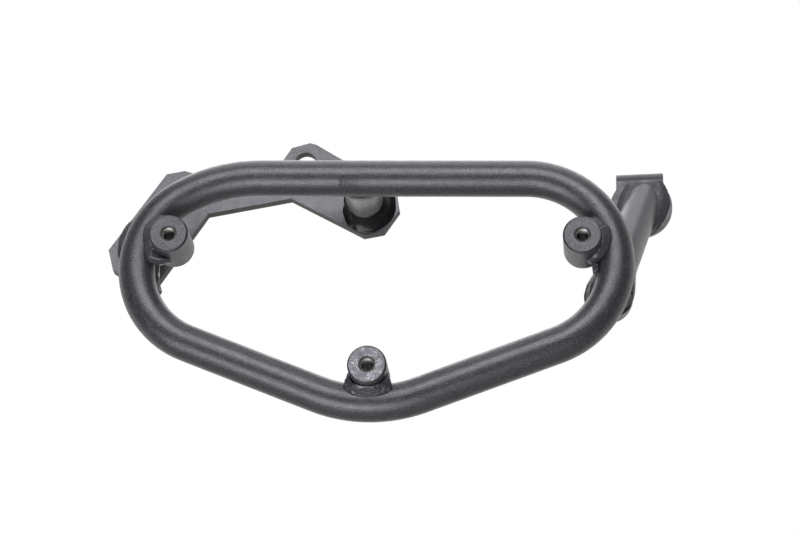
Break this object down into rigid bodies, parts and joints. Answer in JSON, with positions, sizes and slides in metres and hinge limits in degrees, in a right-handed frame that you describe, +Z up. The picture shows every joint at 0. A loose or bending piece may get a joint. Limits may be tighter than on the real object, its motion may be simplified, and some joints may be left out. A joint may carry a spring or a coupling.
{
  "type": "motorcycle side carrier",
  "caption": "Welded side carrier for a motorcycle: a closed tube loop with threaded bosses, held off the frame by a bolted plate on spacers and a strut with a folded bracket.",
  "frame": {"origin": "centre of the ear's bolt hole, on the bracket plate's back face", "axes": "+X along the loop's top run towards the strut, +Y from the loop towards the motorcycle, +Z up"},
  "size_m": [0.2854, 0.111, 0.1578],
  "materials": {
    "frame_coat": "satin black powder coat",
    "boss_coat": "satin black powder coat",
    "weld_coat": "glossy black coat over a weld bead"
  },
  "bodies": {
    "root": {"boss_left": "boss_coat", "boss_left_weld": "weld_coat", "boss_lower": "boss_coat", "boss_lower_weld": "weld_coat", "boss_right": "boss_coat", "boss_right_weld": "weld_coat", "bracket_plate": "frame_coat", "loop_seam_weld": "weld_coat", "loop_tube": "frame_coat", "side_spacer": "frame_coat", "side_spacer_loop_weld": "weld_coat", "side_spacer_plate_weld": "weld_coat", "strut_bracket": "frame_coat", "strut_bracket_weld": "weld_coat", "strut_foot_inner_weld": "weld_coat", "strut_foot_outer_weld": "weld_coat", "strut_tube": "frame_coat", "top_spacer": "frame_coat", "top_spacer_loop_weld": "weld_coat", "top_spacer_plate_weld": "weld_coat"}
  },
  "joints": []
}
